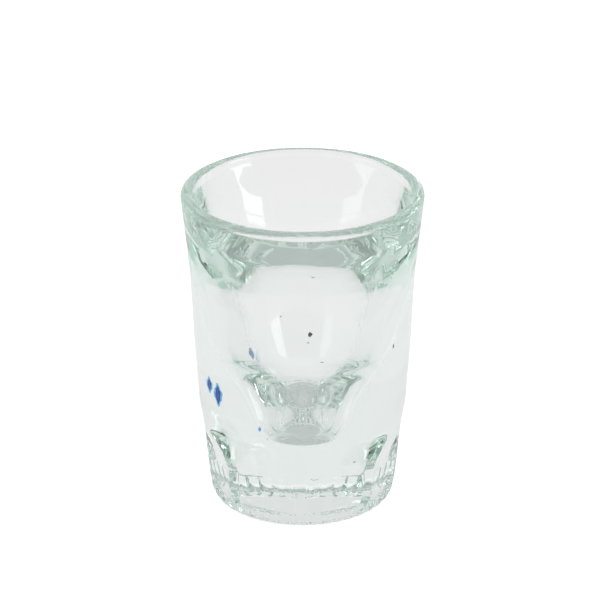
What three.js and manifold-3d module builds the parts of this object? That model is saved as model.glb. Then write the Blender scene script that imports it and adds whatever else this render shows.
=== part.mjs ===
// Pressed shot glass with a heavy base, in millimetres, +Z up.
// The origin is the centre of the bearing ring that the glass stands on, in the plane of its flat face.
// The glass is one body of revolution: an outer wall with a slight waist, a rounded lip, and a cavity
// that flares under the lip and narrows to a cone. Eight arched panels are cut into the foot and stop
// at a ledge above the heel, and radial grooves cross the bearing ring.

import * as THREE from 'three';
import { mergeVertices } from 'three/addons/utils/BufferGeometryUtils.js';
import Module from 'manifold-3d';

const HEIGHT = 69;
const RIM_RADIUS = 25.4;
const TURN_STEPS = 64;
const ARC_STEPS = 4;

// Outer wall, from the foot to the lip: the radius at each height.
const FOOT_RADIUS = 19.2;
const FOOT_TOP = { radius: 20.95, z: 17 };
const WAIST = { radius: 21.85, z: 22 };
const BODY_TOP = { radius: 23.7, z: 52 };
const COLLAR_BEND = { radius: 24.3, z: 57.5 };

// Underside: a shallow recess inside a flat bearing ring, then a rounded heel.
const RECESS_DEPTH = 0.8;
const RECESS_RADIUS = 11;
const RING_INNER_RADIUS = 14.8;
const RING_OUTER_RADIUS = 16.9;
const HEEL_HEIGHT = 3.4;

// Lip: a round edge outside, a round edge inside, and a narrow land between them.
const LIP_ROUND = 1.2;
const LIP_EDGE_Z = HEIGHT - LIP_ROUND;
const LAND_INNER_RADIUS = 24;
const MOUTH_RADIUS = 23.1;

// Cavity: a flare under the lip, a wall that leans in more and more, then a cone with a round tip.
const FLARE_START_Z = 67.6;
const FLARE_END = { radius: 19.1, z: 60.5 };
const FLARE_BEND = { radius: 16.9, z: 55.6 };
const WALL_TOP = { radius: 15.75, z: 51.5 };
const WALL_END = { radius: 14.5, z: 45.6 };
const SHOULDER_BEND = { radius: 13.2, z: 38.6 };
const CONE_TOP = { radius: 10.6, z: 31.4 };
const CONE_TIP = { radius: 6.1, z: 20 };
const TIP_BEND = { radius: 5.2, z: 16.3 };
const CAVITY_FLOOR_Z = 16.3;

// Arched panels around the foot, above the heel.
const PANEL_COUNT = 8;
const PANEL_DEPTH = 1.1;
const PANEL_WIDTH = 13.1;
const PANEL_TOP_Z = 16.6;
const PANEL_FOOT_Z = 3.4;
const PANEL_TURN_DEG = 21;
const PANEL_REACH = 6;

// Radial grooves across the bearing ring.
const GROOVE_COUNT = 40;
const GROOVE_DEPTH = 0.6;
const GROOVE_RADIUS = 0.8;
const GROOVE_START_RADIUS = 13.2;
const GROOVE_END_RADIUS = 19;
const GROOVE_SIDES = 6;

const GLASS_COLOR = 0xd6e6dd;

const wasm = await Module();
wasm.setup();

// A point of the turned profile: the radius, and the height above the bearing ring.
function at(radius, z) {
  return new THREE.Vector2(radius, z);
}

// Points along a smooth bend that leaves `start` and reaches `end`, drawn towards `corner`.
function bend(start, corner, end) {
  const curve = new THREE.QuadraticBezierCurve(start, corner, end);
  return curve.getPoints(ARC_STEPS);
}

function undersideProfile() {
  const recessEdge = at(RECESS_RADIUS, RECESS_DEPTH);
  const recessCorner = at((RECESS_RADIUS + RING_INNER_RADIUS) / 2, RECESS_DEPTH);
  const ringEdge = at(RING_OUTER_RADIUS, 0);
  const heelTop = at(radiusOfFoot(HEEL_HEIGHT), HEEL_HEIGHT);
  return [
    at(0, RECESS_DEPTH),
    ...bend(recessEdge, recessCorner, at(RING_INNER_RADIUS, 0)),
    ...bend(ringEdge, at(FOOT_RADIUS, 0), heelTop),
  ];
}

// The foot is a plain cone, so its radius at any height is a straight-line blend.
function radiusOfFoot(z) {
  return THREE.MathUtils.mapLinear(z, 0, FOOT_TOP.z, FOOT_RADIUS, FOOT_TOP.radius);
}

function outerWallProfile() {
  const collarBend = at(COLLAR_BEND.radius, COLLAR_BEND.z);
  const lipEdge = at(RIM_RADIUS, LIP_EDGE_Z);
  return [
    at(FOOT_TOP.radius, FOOT_TOP.z),
    at(WAIST.radius, WAIST.z),
    ...bend(at(BODY_TOP.radius, BODY_TOP.z), collarBend, lipEdge),
  ];
}

function lipProfile() {
  const outerTop = at(RIM_RADIUS - LIP_ROUND, HEIGHT);
  const innerTop = at(LAND_INNER_RADIUS, HEIGHT);
  const mouth = at(MOUTH_RADIUS, FLARE_START_Z);
  const outerEdge = bend(at(RIM_RADIUS, LIP_EDGE_Z), at(RIM_RADIUS, HEIGHT), outerTop);
  const innerEdge = bend(innerTop, at(MOUTH_RADIUS, HEIGHT), mouth);
  return [...outerEdge.slice(1), ...innerEdge];
}

function cavityProfile() {
  const flareEnd = at(FLARE_END.radius, FLARE_END.z);
  const wallTop = at(WALL_TOP.radius, WALL_TOP.z);
  const wallEnd = at(WALL_END.radius, WALL_END.z);
  const coneTop = at(CONE_TOP.radius, CONE_TOP.z);
  const coneTip = at(CONE_TIP.radius, CONE_TIP.z);
  return [
    ...bend(flareEnd, at(FLARE_BEND.radius, FLARE_BEND.z), wallTop),
    ...bend(wallEnd, at(SHOULDER_BEND.radius, SHOULDER_BEND.z), coneTop),
    ...bend(coneTip, at(TIP_BEND.radius, TIP_BEND.z), at(0, CAVITY_FLOOR_Z)),
  ];
}

// The turned blank. The lathe turns about Y, so it is laid over to stand on Z.
function turnedBlank() {
  const profile = [
    ...undersideProfile(),
    ...outerWallProfile(),
    ...lipProfile(),
    ...cavityProfile(),
  ];
  return new THREE.LatheGeometry(profile, TURN_STEPS).rotateX(Math.PI / 2);
}

// The outline of a panel: straight sides and a half-round top, starting at the top of the heel.
function panelOutline() {
  const half = PANEL_WIDTH / 2;
  const outline = new THREE.Shape();
  outline.moveTo(-half, PANEL_FOOT_Z);
  outline.lineTo(half, PANEL_FOOT_Z);
  outline.lineTo(half, PANEL_TOP_Z - half);
  outline.absarc(0, PANEL_TOP_Z - half, half, 0, Math.PI, false);
  outline.closePath();
  return outline;
}

// A cutter for one panel. Its inner face leans out with the foot, PANEL_DEPTH under the surface.
function panelCutter(turn) {
  const lean = Math.atan2(FOOT_TOP.radius - FOOT_RADIUS, FOOT_TOP.z);
  const geometry = new THREE.ExtrudeGeometry(panelOutline(), {
    depth: PANEL_REACH,
    bevelEnabled: false,
    curveSegments: ARC_STEPS * 3,
  });
  geometry.rotateX(Math.PI / 2);
  geometry.rotateX(lean);
  geometry.translate(0, -(FOOT_RADIUS - PANEL_DEPTH), 0);
  return geometry.rotateZ(turn);
}

// A cutter for one groove: a thin round bar laid along a radius of the bearing ring.
function grooveCutter(turn) {
  const length = GROOVE_END_RADIUS - GROOVE_START_RADIUS;
  const geometry = new THREE.CylinderGeometry(GROOVE_RADIUS, GROOVE_RADIUS, length, GROOVE_SIDES);
  geometry.translate(0, -(GROOVE_START_RADIUS + length / 2), GROOVE_DEPTH - GROOVE_RADIUS);
  return geometry.rotateZ(turn);
}

// A closed geometry as a solid, with its shared vertices merged.
function solidOf(geometry) {
  const bare = geometry.clone();
  bare.deleteAttribute('normal');
  bare.deleteAttribute('uv');
  const merged = mergeVertices(bare);
  return new wasm.Manifold(new wasm.Mesh({
    numProp: 3,
    vertProperties: new Float32Array(merged.attributes.position.array),
    triVerts: new Uint32Array(merged.index.array),
  }));
}

function geometryOf(solid) {
  const mesh = solid.getMesh();
  const geometry = new THREE.BufferGeometry();
  geometry.setAttribute('position', new THREE.BufferAttribute(mesh.vertProperties, mesh.numProp));
  geometry.setIndex(new THREE.BufferAttribute(mesh.triVerts, 1));
  geometry.computeVertexNormals();
  return geometry;
}

// `count` cutters spread evenly around the axis, the first one turned by `start`.
function spread(count, start, makeCutter) {
  const step = (2 * Math.PI) / count;
  return Array.from({ length: count }, (_, index) => makeCutter(start + index * step));
}

function glassGeometry() {
  const firstTurn = THREE.MathUtils.degToRad(PANEL_TURN_DEG);
  const cutters = [
    ...spread(PANEL_COUNT, firstTurn, panelCutter),
    ...spread(GROOVE_COUNT, firstTurn, grooveCutter),
  ];
  let body = solidOf(turnedBlank());
  for (const cutter of cutters) {
    body = body.subtract(solidOf(cutter));
  }
  return geometryOf(body);
}

function makeGlass() {
  const material = new THREE.MeshStandardMaterial({
    color: GLASS_COLOR,
    roughness: 0.05,
    metalness: 0,
    transparent: true,
    opacity: 0.35,
  });
  const glass = new THREE.Mesh(glassGeometry(), material);
  glass.name = 'glass_body';
  return glass;
}

const shotGlass = new THREE.Group();
shotGlass.add(makeGlass());

export default shotGlass;
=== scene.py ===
"""Looks for a small pressed shot glass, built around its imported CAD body. Metres, +Z up."""

import math

import bmesh
import bpy
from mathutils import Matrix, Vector


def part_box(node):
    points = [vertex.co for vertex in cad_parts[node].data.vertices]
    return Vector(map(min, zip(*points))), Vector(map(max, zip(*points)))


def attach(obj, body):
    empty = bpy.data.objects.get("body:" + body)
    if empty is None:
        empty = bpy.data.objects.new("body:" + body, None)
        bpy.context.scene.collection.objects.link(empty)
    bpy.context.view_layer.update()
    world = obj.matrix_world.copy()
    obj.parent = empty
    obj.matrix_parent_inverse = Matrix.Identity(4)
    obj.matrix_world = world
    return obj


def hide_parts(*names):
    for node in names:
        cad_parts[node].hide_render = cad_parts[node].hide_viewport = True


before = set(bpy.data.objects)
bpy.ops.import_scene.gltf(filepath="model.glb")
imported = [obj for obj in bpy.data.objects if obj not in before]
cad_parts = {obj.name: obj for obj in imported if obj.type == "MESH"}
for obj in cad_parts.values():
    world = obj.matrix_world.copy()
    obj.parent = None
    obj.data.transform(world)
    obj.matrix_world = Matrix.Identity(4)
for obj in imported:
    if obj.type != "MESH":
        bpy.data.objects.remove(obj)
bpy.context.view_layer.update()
glass_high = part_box("glass_body")[1]

MM = 0.001
HEIGHT = glass_high.z / MM
RIM_RADIUS = glass_high.x / MM

# Profile stations, as radius and height in millimetres.
FOOT_RADIUS = 19.2
FOOT_TOP_RADIUS = 20.95
FOOT_TOP_Z = 17.0
RECESS = [(0.0, 0.8), (5.0, 0.8), (9.0, 0.76), (11.5, 0.66), (13.2, 0.46)]
RING = [(14.2, 0.12), (15.0, 0.0), (16.0, 0.0), (16.9, 0.0)]
HEEL = [(17.8, 0.32), (18.6, 1.05), (19.1, 2.0), (19.35, 2.9)]
FOOT_WALL = [(19.48, 3.8), (19.87, 6.5), (20.43, 12.0), (20.85, 16.0)]
STEP = [(21.12, 18.2), (21.55, 20.4), (21.87, 22.6), (22.1, 26.0)]
WALL = [(22.75, 35.0), (23.25, 45.0), (23.7, 52.0), (24.5, 59.5), (25.1, 64.8)]
LIP_ROUND = 1.2
INNER_LIP_ROUND = 1.1
INNER_LIP_INSET = 1.5
FLARE = [(22.85, 67.1), (21.8, 65.2), (20.35, 62.7), (19.1, 60.5), (18.1, 58.4), (17.2, 56.2)]
CAVITY_WALL = [(16.4, 53.9), (15.75, 51.5), (15.2, 49.0), (14.5, 45.6), (13.75, 42.0), (13.1, 39.0)]
CONE = [(12.5, 36.6), (11.7, 34.0), (10.6, 31.4), (9.3, 28.8), (7.9, 25.9), (6.9, 23.0), (6.1, 20.0)]
TIP = [(5.4, 18.2), (4.5, 17.0), (3.2, 16.45), (1.6, 16.3), (0.0, 16.3)]

# Arched panels round the foot, above a ledge at the top of the heel.
PANEL_DEPTH = 1.0
LEDGE_LOW_Z = 2.9
LEDGE_HIGH_Z = 3.7
PANEL_REACH_Z = 21.5
PANEL_SCOOP_Z = 10.0
PANEL_SCOOP = 0.026
PANEL_EASE_Z = 18.5
PANEL_EASE = 0.5
PANEL_EASE_ROUNDS = 4
PANEL_EASE_MARGIN = math.radians(1.2)
PANEL_TURN = math.radians(21)
SECTOR = math.radians(45)
SECTOR_STEPS = 60
SECTOR_DOUBLINGS = 3

# Radial grooves across the bearing ring.
GROOVES_PER_PANEL = 5
GROOVE_LINE = 0.02
GROOVE_DEPTH = 0.4
GROOVE_REACH = 1.4
GROOVE_START = 13.2
GROOVE_END = 16.4
HEEL_GROOVE_START_Z = 0.6
HEEL_GROOVE_END_Z = 2.9
HEEL_GROOVE_DEPTH = 0.5

# Slow waves left by the mould, above the foot.
WAVE_START_Z = 4.0
WAVE_WIDTH = 9.0
WAVE_HEIGHT = 0.1

# Stones in the glass: the turn in degrees, the height, the half width and the half height.
STONES = [
    (3.9, 45.9, 0.42, 0.55),
    (2.9, 44.0, 0.3, 0.1),
    (10.3, 39.4, 0.42, 0.09),
    (5.0, 59.1, 0.4, 0.08),
    (-11.2, 49.9, 0.14, 0.14),
    (32.6, 14.6, 0.34, 0.12),
    (-20.2, 21.1, 0.13, 0.13),
    (56.7, 38.9, 0.2, 0.5),
]
STONE_DEPTH = 0.9

# Small leaves of fired colour on the wall, in the same order of numbers.
LEAVES = [(-52.5, 28.4, 1.45, 2.7), (-60.5, 29.6, 1.3, 1.9), (-24.0, 23.4, 0.35, 0.6)]
LEAF_EDGE = 0.6

GLASS_TINT = (0.80, 0.92, 0.87, 1.0)
GLASS_DENSITY = 14.0
GLASS_IOR = 1.52

# The camera: its distance, its tilt down, and the lens and shift that frame the glass.
CAMERA_DISTANCE = 1.0
CAMERA_TILT = math.radians(23.2)
CAMERA_LENS = 284.9
CAMERA_SENSOR = 36.0
CAMERA_SHIFT = (-0.0042, 0.07)

# The paper is a little brighter to the eye than through the glass, so that it falls away to white.
PAPER_GLOW = 0.26
PAPER_LIFT = 0.42

# The room's light, as strengths from front to back, and brighter where it meets the table.
ROOM_COLOUR = (1.0, 0.985, 1.0, 1.0)
ROOM_FRONT = 0.36
ROOM_BACK = 0.81
ROOM_FRONT_Y = -0.6
ROOM_BACK_Y = 0.4
ROOM_FOOT_LIFT = 0.3
ROOM_FOOT_TOP = 0.2

# The side lights: the name, the turn in degrees and the power of each, then where they stand.
SIDE_LIGHTS = [("right_light", 69, 4.4), ("left_light", -69, 2.0)]
SIDE_LIGHT_DISTANCE = 1.2
SIDE_LIGHT_HEIGHT = 0.36
SIDE_LIGHT_SIZE = (0.56, 0.72)


def place_camera():
    """The camera stands in front of the glass and looks a little down on it."""
    aim = Vector((0.0, 0.0, glass_high.z / 2))
    away = Vector((0.0, -math.cos(CAMERA_TILT), math.sin(CAMERA_TILT)))
    bpy.ops.object.camera_add(location=aim + away * CAMERA_DISTANCE)
    camera = bpy.context.object
    camera.rotation_euler = (-away).to_track_quat("-Z", "Y").to_euler()
    camera.data.sensor_width = CAMERA_SENSOR
    camera.data.lens = CAMERA_LENS
    camera.data.shift_x = CAMERA_SHIFT[0]
    camera.data.shift_y = CAMERA_SHIFT[1]
    bpy.context.scene.camera = camera


def smooth_line(stations, steps):
    """A smooth line through the stations, with the given number of steps between two of them."""
    points = [Vector(station) for station in stations]
    before = points[0] * 2 - points[1]
    after = points[-1] * 2 - points[-2]
    padded = [before, *points, after]
    line = []
    for first, start, end, last in zip(padded, padded[1:], padded[2:], padded[3:]):
        for step in range(steps):
            t = step / steps
            pull = (end - first) * t + (first * 2 - start * 5 + end * 4 - last) * t**2
            line.append((start * 2 + pull + (start * 3 - first - end * 3 + last) * t**3) / 2)
    line.append(points[-1])
    return line


def arc(radius, height, bend, start, end, steps):
    """Points round a bend centred at a radius and a height, from one angle to another."""
    turns = [math.radians(start + (end - start) * step / steps) for step in range(steps + 1)]
    return [Vector((radius + bend * math.cos(a), height + bend * math.sin(a))) for a in turns]


def glass_profile():
    """Half of the section of the glass, from the middle of the base round to the cavity floor."""
    outside = smooth_line(RECESS + RING + HEEL, 3)
    outside += smooth_line(HEEL[-1:] + FOOT_WALL, 6)[1:]
    outside += smooth_line(FOOT_WALL[-1:] + STEP, 4)[1:]
    outside += smooth_line(STEP[-1:] + WALL, 4)[1:]
    outside += arc(RIM_RADIUS - LIP_ROUND, HEIGHT - LIP_ROUND, LIP_ROUND, 0, 90, 8)
    inside = arc(RIM_RADIUS - INNER_LIP_INSET, HEIGHT - INNER_LIP_ROUND, INNER_LIP_ROUND, 90, 165, 7)
    inside += smooth_line(FLARE + CAVITY_WALL + CONE + TIP, 4)
    return outside + inside


def pick(piece, wanted):
    """Selects the vertices whose place passes the test."""
    bpy.ops.mesh.select_all(action="DESELECT")
    mesh = bmesh.from_edit_mesh(piece.data)
    for vertex in mesh.verts:
        vertex.select_set(wanted(vertex.co))
    mesh.select_flush(True)
    bmesh.update_edit_mesh(piece.data)


def unselect():
    """Leaves nothing selected."""
    bpy.ops.object.select_all(action="DESELECT")


def start_point(name, place):
    """A new piece that holds one vertex, open in edit mode."""
    unselect()
    bpy.ops.mesh.primitive_plane_add(size=MM, location=(0.0, 0.0, 0.0))
    piece = bpy.context.object
    piece.name = name
    bpy.ops.object.mode_set(mode="EDIT")
    bpy.ops.mesh.select_all(action="SELECT")
    bpy.ops.mesh.merge(type="CENTER")
    bpy.ops.transform.translate(value=place)
    return piece


def draw(points):
    """Extrudes the selected vertex along a row of places."""
    for here, there in zip(points, points[1:]):
        bpy.ops.mesh.extrude_region_move(TRANSFORM_OT_translate={"value": there - here})


def on_sector_edge(point):
    """A profile point, in the plane where the sector of one panel starts."""
    radius = point.x * MM
    return Vector((-radius * math.sin(SECTOR / 2), -radius * math.cos(SECTOR / 2), point.y * MM))


def turn_sector():
    """Turns the profile about the axis of the glass, through the width of one panel."""
    bpy.ops.mesh.select_all(action="SELECT")
    bpy.ops.mesh.spin(
        steps=SECTOR_STEPS, angle=SECTOR, use_auto_merge=False, center=(0, 0, 0), axis=(0, 0, -1)
    )
    bpy.ops.mesh.select_all(action="SELECT")
    bpy.ops.mesh.remove_doubles(threshold=0.001 * MM)


def foot_radius_at(z):
    """The foot is a plain cone up to its top."""
    return (FOOT_RADIUS + (FOOT_TOP_RADIUS - FOOT_RADIUS) * z / (FOOT_TOP_Z * MM)) * MM


def panel_depth_at(z):
    """How far from the axis the face of a panel stands at a height."""
    rise = (z / MM - LEDGE_LOW_Z) / (LEDGE_HIGH_Z - LEDGE_LOW_Z)
    rise = min(1.0, max(0.0, rise))
    face = foot_radius_at(z) - PANEL_DEPTH * rise**2 * (3 - 2 * rise) * MM
    scoop = max(0.0, z / MM - PANEL_SCOOP_Z)
    return face + PANEL_SCOOP * scoop**2 * MM


def press_panel(piece):
    """Presses the arched panel flat, one height after another."""
    mesh = bmesh.from_edit_mesh(piece.data)
    heights = sorted({round(v.co.z, 7) for v in mesh.verts})
    for z in heights:
        if LEDGE_LOW_Z * MM < z < PANEL_REACH_Z * MM:
            face = panel_depth_at(z)
            pick(piece, lambda p: abs(p.z - z) < 0.0005 * MM and p.y < -face)
            bpy.ops.transform.resize(value=(1, 0, 1), center_override=(0, -face, z))


def on_groove(place):
    """True on the middle line of a groove, where it crosses the ring and climbs the heel."""
    pitch = SECTOR / GROOVES_PER_PANEL
    radius = math.hypot(place.x, place.y) / MM
    turn = math.atan2(place.x, -place.y) / pitch
    near = abs(turn - round(turn)) < GROOVE_LINE and abs(round(turn)) <= GROOVES_PER_PANEL // 2
    return near and radius > GROOVE_START and place.z < HEEL_GROOVE_END_Z * MM


def cut_grooves(piece):
    """Lifts the grooves out of the bearing ring and draws them in on the heel, softly."""
    soft = {
        "use_proportional_edit": True,
        "proportional_edit_falloff": "SMOOTH",
        "proportional_size": GROOVE_REACH * MM,
    }
    pick(piece, lambda p: on_groove(p) and p.z < MM and math.hypot(p.x, p.y) < GROOVE_END * MM)
    bpy.ops.transform.translate(value=(0, 0, GROOVE_DEPTH * MM), **soft)
    pick(piece, lambda p: on_groove(p) and p.z > HEEL_GROOVE_START_Z * MM)
    drawn = 1.0 - HEEL_GROOVE_DEPTH / FOOT_RADIUS
    bpy.ops.transform.resize(value=(drawn, drawn, 1), center_override=(0, 0, 0), **soft)


def copy_round(piece):
    """Doubles the sector three times round the axis, so that eight panels close the ring."""
    for doubling in range(SECTOR_DOUBLINGS):
        turn = SECTOR * 2**doubling
        bpy.ops.mesh.select_all(action="SELECT")
        bpy.ops.mesh.duplicate()
        bpy.ops.transform.rotate(value=turn, orient_axis="Z", center_override=(0, 0, 0))
    bpy.ops.mesh.select_all(action="SELECT")
    bpy.ops.mesh.remove_doubles(threshold=0.002 * MM)
    bpy.ops.mesh.normals_make_consistent(inside=False)
    bpy.ops.transform.rotate(value=-PANEL_TURN, orient_axis="Z", center_override=(0, 0, 0))


def new_material(name):
    """A material with only its output left, and its node tree."""
    material = bpy.data.materials.new(name)
    material.use_nodes = True
    material.node_tree.nodes.clear()
    material.node_tree.nodes.new("ShaderNodeOutputMaterial")
    return material


def noise_at(tree, scale, detail):
    """Noise over the object's own coordinates, with `scale` features to a metre."""
    place = tree.nodes.new("ShaderNodeTexCoord")
    noise = tree.nodes.new("ShaderNodeTexNoise")
    noise.inputs["Scale"].default_value = scale
    noise.inputs["Detail"].default_value = detail
    tree.links.new(place.outputs["Object"], noise.inputs["Vector"])
    return noise


def pressed_glass():
    """Clear soda-lime glass, faintly green in its thickness, with fine marks of use."""
    material = new_material("pressed_glass")
    tree = material.node_tree
    output = tree.nodes["Material Output"]
    shader = tree.nodes.new("ShaderNodeBsdfPrincipled")
    shader.inputs["Base Color"].default_value = (1.0, 1.0, 1.0, 1.0)
    shader.inputs["Transmission Weight"].default_value = 1.0
    shader.inputs["IOR"].default_value = GLASS_IOR
    absorption = tree.nodes.new("ShaderNodeVolumeAbsorption")
    absorption.inputs["Color"].default_value = GLASS_TINT
    absorption.inputs["Density"].default_value = GLASS_DENSITY
    smudges = noise_at(tree, 90.0, 3.0)
    haze = tree.nodes.new("ShaderNodeMapRange")
    haze.inputs["From Min"].default_value = 0.55
    haze.inputs["From Max"].default_value = 0.8
    haze.inputs["To Min"].default_value = 0.0
    haze.inputs["To Max"].default_value = 0.03
    tree.links.new(smudges.outputs["Fac"], haze.inputs["Value"])
    tree.links.new(haze.outputs["Result"], shader.inputs["Roughness"])
    waves = noise_at(tree, 210.0, 0.0)
    bump = tree.nodes.new("ShaderNodeBump")
    bump.inputs["Strength"].default_value = 0.2
    bump.inputs["Distance"].default_value = 0.0001
    tree.links.new(waves.outputs["Fac"], bump.inputs["Height"])
    tree.links.new(bump.outputs["Normal"], shader.inputs["Normal"])
    tree.links.new(shader.outputs["BSDF"], output.inputs["Surface"])
    tree.links.new(absorption.outputs["Volume"], output.inputs["Volume"])
    return material


def mottled(name, dark, light, scale, roughness):
    """An opaque finish that wanders between two colours."""
    material = new_material(name)
    tree = material.node_tree
    shader = tree.nodes.new("ShaderNodeBsdfPrincipled")
    shader.inputs["Roughness"].default_value = roughness
    patches = noise_at(tree, scale, 3.0)
    ramp = tree.nodes.new("ShaderNodeValToRGB")
    ramp.color_ramp.elements[0].position = 0.35
    ramp.color_ramp.elements[0].color = (*dark, 1.0)
    ramp.color_ramp.elements[1].position = 0.65
    ramp.color_ramp.elements[1].color = (*light, 1.0)
    bump = tree.nodes.new("ShaderNodeBump")
    bump.inputs["Strength"].default_value = 0.4
    bump.inputs["Distance"].default_value = 0.00002
    tree.links.new(patches.outputs["Fac"], ramp.inputs["Fac"])
    tree.links.new(patches.outputs["Fac"], bump.inputs["Height"])
    tree.links.new(ramp.outputs["Color"], shader.inputs["Base Color"])
    tree.links.new(bump.outputs["Normal"], shader.inputs["Normal"])
    tree.links.new(shader.outputs["BSDF"], tree.nodes["Material Output"].inputs["Surface"])
    return material


def table_paper():
    """Pale matt paper, bright enough to fall away to white."""
    material = new_material("table_paper")
    tree = material.node_tree
    shader = tree.nodes.new("ShaderNodeBsdfPrincipled")
    shader.inputs["Roughness"].default_value = 0.8
    shader.inputs["Emission Color"].default_value = (1.0, 1.0, 1.0, 1.0)
    seen = tree.nodes.new("ShaderNodeLightPath")
    glow = tree.nodes.new("ShaderNodeMapRange")
    glow.inputs["To Min"].default_value = PAPER_GLOW
    glow.inputs["To Max"].default_value = PAPER_GLOW + PAPER_LIFT
    tree.links.new(seen.outputs["Is Camera Ray"], glow.inputs["Value"])
    tree.links.new(glow.outputs["Result"], shader.inputs["Emission Strength"])
    fibres = noise_at(tree, 900.0, 4.0)
    shade = tree.nodes.new("ShaderNodeMapRange")
    shade.inputs["To Min"].default_value = 0.86
    shade.inputs["To Max"].default_value = 0.9
    tree.links.new(fibres.outputs["Fac"], shade.inputs["Value"])
    tree.links.new(shade.outputs["Result"], shader.inputs["Base Color"])
    tree.links.new(shader.outputs["BSDF"], tree.nodes["Material Output"].inputs["Surface"])
    return material


def lay_floor():
    """A wide sheet of paper under the glass."""
    unselect()
    bpy.ops.mesh.primitive_plane_add(size=6.0, location=(0.0, 0.0, 0.0))
    floor = bpy.context.object
    floor.name = "floor"
    floor.data.materials.append(table_paper())


def soft_box(name, place, aim, size, power):
    """A soft box that faces a point."""
    bpy.ops.object.light_add(type="AREA", location=place)
    light = bpy.context.object
    light.name = name
    light.data.shape = "RECTANGLE"
    light.data.size = size[0]
    light.data.size_y = size[1]
    light.data.energy = power
    light.rotation_euler = (Vector(aim) - Vector(place)).to_track_quat("-Z", "Y").to_euler()


def light_room():
    """A white room, darker behind the camera and brighter low down. Seen directly it is plain white."""
    world = bpy.data.worlds.new("room")
    bpy.context.scene.world = world
    world.use_nodes = True
    tree = world.node_tree
    tree.nodes["Background"].inputs["Color"].default_value = ROOM_COLOUR
    place = tree.nodes.new("ShaderNodeTexCoord")
    across = tree.nodes.new("ShaderNodeSeparateXYZ")
    depth = tree.nodes.new("ShaderNodeMapRange")
    depth.interpolation_type = "SMOOTHSTEP"
    depth.inputs["From Min"].default_value = ROOM_FRONT_Y
    depth.inputs["From Max"].default_value = ROOM_BACK_Y
    depth.inputs["To Min"].default_value = ROOM_FRONT
    depth.inputs["To Max"].default_value = ROOM_BACK
    low = tree.nodes.new("ShaderNodeMapRange")
    low.inputs["From Max"].default_value = ROOM_FOOT_TOP
    low.inputs["To Min"].default_value = 1.0 + ROOM_FOOT_LIFT
    low.inputs["To Max"].default_value = 1.0
    bright = tree.nodes.new("ShaderNodeMath")
    bright.operation = "MULTIPLY"
    seen = tree.nodes.new("ShaderNodeLightPath")
    glow = tree.nodes.new("ShaderNodeMix")
    glow.inputs[3].default_value = 1.0
    tree.links.new(place.outputs["Generated"], across.inputs["Vector"])
    tree.links.new(across.outputs["Y"], depth.inputs["Value"])
    tree.links.new(seen.outputs["Is Camera Ray"], glow.inputs[0])
    tree.links.new(across.outputs["Z"], low.inputs["Value"])
    tree.links.new(depth.outputs["Result"], bright.inputs[0])
    tree.links.new(low.outputs["Result"], bright.inputs[1])
    tree.links.new(bright.outputs[0], glow.inputs[2])
    tree.links.new(glow.outputs[0], tree.nodes["Background"].inputs["Strength"])


def light_studio():
    """Two tall soft lights that stand on the table, one to each side and a little forward."""
    for name, turn, power in SIDE_LIGHTS:
        side = math.radians(turn)
        across = SIDE_LIGHT_DISTANCE * math.sin(side)
        place = (across, -SIDE_LIGHT_DISTANCE * math.cos(side), SIDE_LIGHT_HEIGHT)
        soft_box(name, place, (0.0, 0.0, SIDE_LIGHT_HEIGHT), SIDE_LIGHT_SIZE, power)


def set_light_paths():
    """Clear glass needs many bounces, and white stays white."""
    scene = bpy.context.scene
    scene.view_settings.view_transform = "Standard"
    scene.cycles.max_bounces = 32
    scene.cycles.transmission_bounces = 32
    scene.cycles.glossy_bounces = 16


def ease_panel(piece):
    """Rounds the edges of the pressed panel, away from the two sides of the sector."""
    limit = SECTOR / 2 - PANEL_EASE_MARGIN

    def in_panel(place):
        on_foot = LEDGE_HIGH_Z * MM < place.z < PANEL_EASE_Z * MM
        outside = math.hypot(place.x, place.y) > (FOOT_RADIUS - 2 * PANEL_DEPTH) * MM
        return on_foot and outside and abs(math.atan2(place.x, -place.y)) < limit

    pick(piece, in_panel)
    bpy.ops.mesh.vertices_smooth(factor=PANEL_EASE, repeat=PANEL_EASE_ROUNDS)


def wave(piece):
    """Gives the wall the slow waves of a mould. The foot keeps its true face."""
    pick(piece, lambda place: place.z > WAVE_START_Z * MM)
    bpy.ops.object.vertex_group_assign_new()
    bpy.ops.object.mode_set(mode="OBJECT")
    clouds = bpy.data.textures.new("mould_waves", type="CLOUDS")
    clouds.noise_scale = WAVE_WIDTH * MM
    clouds.noise_depth = 1
    waves = piece.modifiers.new("waves", "DISPLACE")
    waves.texture = clouds
    waves.texture_coords = "LOCAL"
    waves.strength = WAVE_HEIGHT * MM
    waves.vertex_group = piece.vertex_groups[0].name
    bpy.ops.object.modifier_apply(modifier=waves.name)


def make_glass():
    """One panel's sector is shaped and copied round, then the whole piece is finished."""
    profile = [on_sector_edge(point) for point in glass_profile()]
    glass = start_point("glass", profile[0])
    draw(profile)
    turn_sector()
    press_panel(glass)
    ease_panel(glass)
    cut_grooves(glass)
    copy_round(glass)
    wave(glass)
    bpy.ops.object.shade_smooth()
    glass.data.materials.append(pressed_glass())
    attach(glass, "root")
    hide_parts("glass_body")
    return glass


def wall_radius_at(z):
    """The outer radius at a height, between the two stations beside it."""
    stations = HEEL + FOOT_WALL + STEP + WALL
    for (low, low_z), (high, high_z) in zip(stations, stations[1:]):
        if low_z <= z <= high_z:
            return low + (high - low) * (z - low_z) / (high_z - low_z)
    return RIM_RADIUS


def on_wall(turn, z, depth):
    """A place under the outer wall, at a turn in degrees, a height and a depth in millimetres."""
    side = math.radians(turn)
    radius = (wall_radius_at(z) - depth) * MM
    return Vector((radius * math.sin(side), -radius * math.cos(side), z * MM))


def join(parts, name):
    """One piece made of several."""
    unselect()
    for part in parts:
        part.select_set(True)
    bpy.context.view_layer.objects.active = parts[0]
    bpy.ops.object.join()
    parts[0].name = name
    parts[0].data.name = name
    bpy.ops.object.shade_smooth()
    return parts[0]


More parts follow.
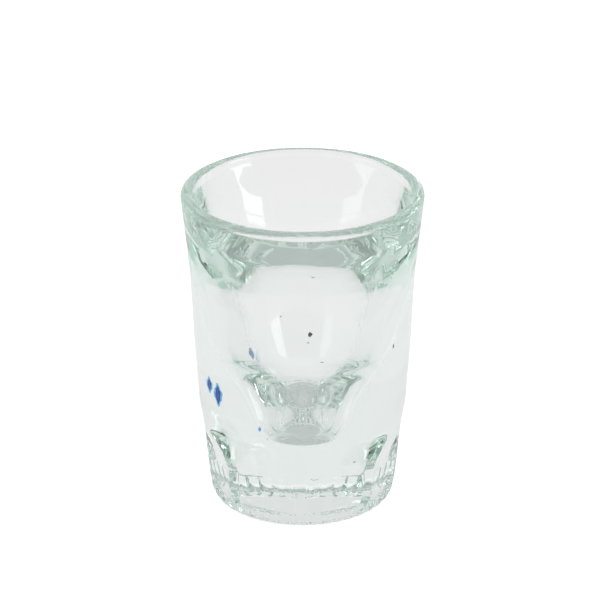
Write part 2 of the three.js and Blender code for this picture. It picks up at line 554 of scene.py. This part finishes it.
def make_stones():
    """Tiny dark stones shut in the front wall, each drawn out of round."""
    parts = []
    for turn, z, half_width, half_height in STONES:
        unselect()
        place = on_wall(turn, z, STONE_DEPTH)
        bpy.ops.mesh.primitive_ico_sphere_add(subdivisions=2, radius=MM, location=place)
        stone = bpy.context.object
        stone.rotation_euler = (0.0, 0.2, math.radians(turn))
        stone.scale = (half_width, min(half_width, half_height), half_height)
        bpy.ops.object.transform_apply(location=True, rotation=True, scale=True)
        bpy.ops.object.mode_set(mode="EDIT")
        pick(stone, lambda p: p.x > place.x + 0.3 * half_width * MM)
        bpy.ops.transform.resize(value=(1.25, 0.6, 0.6), center_override=place)
        bpy.ops.object.mode_set(mode="OBJECT")
        parts.append(stone)
    stones = join(parts, "stones")
    stones.data.materials.append(mottled("stone", (0.05, 0.05, 0.06), (0.3, 0.28, 0.27), 2500.0, 0.5))
    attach(stones, "root")


def lay_leaf(glass, leaf, edge, lift):
    """One pointed leaf of colour as a thin skin on the wall, drawn in by `edge` all round."""
    turn, z, half_width, half_height = leaf
    place = on_wall(turn, z, 0.0)
    unselect()
    bpy.ops.mesh.primitive_circle_add(
        vertices=32,
        radius=MM,
        fill_type="NGON",
        location=place,
        rotation=(math.pi / 2, 0.0, math.radians(turn)),
    )
    skin = bpy.context.object
    skin.scale = (half_width - edge, half_height - edge, 1.0)
    bpy.ops.object.transform_apply(location=True, rotation=True, scale=True)
    bpy.ops.object.mode_set(mode="EDIT")
    pick(skin, lambda p: abs(p.z - place.z) > 0.5 * half_height * MM)
    bpy.ops.transform.resize(value=(0.6, 0.6, 1.05), center_override=place)
    pick(skin, lambda p: p.z > place.z)
    bpy.ops.transform.translate(value=(0.25 * half_width * MM, 0, 0))
    bpy.ops.mesh.select_all(action="SELECT")
    bpy.ops.mesh.inset(thickness=0.15 * (half_width - edge) * MM)
    bpy.ops.mesh.select_all(action="SELECT")
    bpy.ops.mesh.poke()
    bpy.ops.object.mode_set(mode="OBJECT")
    wrap = skin.modifiers.new("wrap", "SHRINKWRAP")
    wrap.target = glass
    wrap.wrap_mode = "ABOVE_SURFACE"
    wrap.offset = lift * MM
    bpy.ops.object.modifier_apply(modifier=wrap.name)
    thick = skin.modifiers.new("thick", "SOLIDIFY")
    thick.thickness = 0.02 * MM
    thick.offset = 1.0
    bpy.ops.object.modifier_apply(modifier=thick.name)
    return skin


def make_marks(glass):
    """The worn remains of a painted mark: dark blue leaves with a light blue edge."""
    finishes = [
        ("mark_edge", 0.0, 0.01, (0.12, 0.42, 0.85), (0.3, 0.65, 0.95)),
        ("mark_middle", LEAF_EDGE, 0.04, (0.0, 0.03, 0.2), (0.02, 0.12, 0.5)),
    ]
    for name, edge, lift, dark, light in finishes:
        leaves = [leaf for leaf in LEAVES if leaf[2] > edge]
        marks = join([lay_leaf(glass, leaf, edge, lift) for leaf in leaves], name)
        marks.data.materials.append(mottled(name, dark, light, 1400.0, 0.35))
        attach(marks, "root")


place_camera()
set_light_paths()
light_room()
light_studio()
lay_floor()
glass = make_glass()
make_stones()
make_marks(glass)
